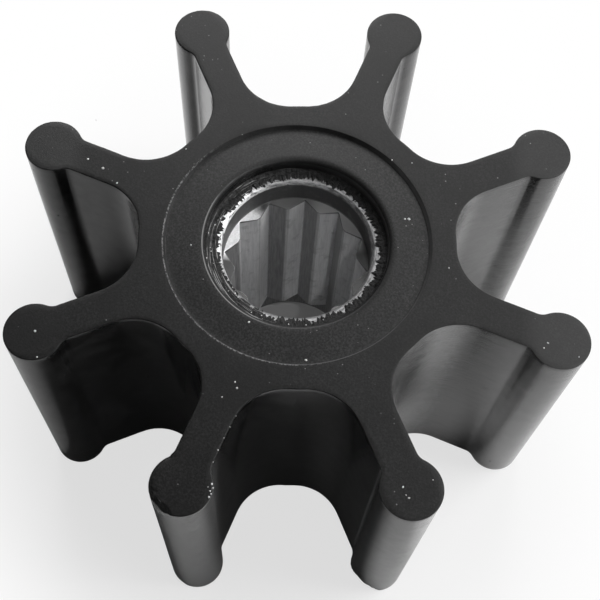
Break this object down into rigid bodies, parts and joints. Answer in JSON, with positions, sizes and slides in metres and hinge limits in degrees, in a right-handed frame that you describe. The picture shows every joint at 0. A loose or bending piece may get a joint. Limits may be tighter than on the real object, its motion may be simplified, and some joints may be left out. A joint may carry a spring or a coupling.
{
  "type": "flexible pump impeller",
  "caption": "Flexible rubber pump impeller with straight radial blades ending in round tips, and a bonded metal insert with a splined bore.",
  "frame": {"origin": "centre of the lower end face, on the bore's axis", "axes": "+Z along the bore; the gap between two blades is centred on +X"},
  "size_m": [0.0532, 0.0532, 0.0318],
  "materials": {
    "neoprene": "matte moulded black, with fine scuffs and dust",
    "insert_metal": "machined and broached, with rubber residue at its ends"
  },
  "bodies": {
    "root": {"rubber_body": "neoprene", "spline_insert": "insert_metal"}
  },
  "joints": []
}
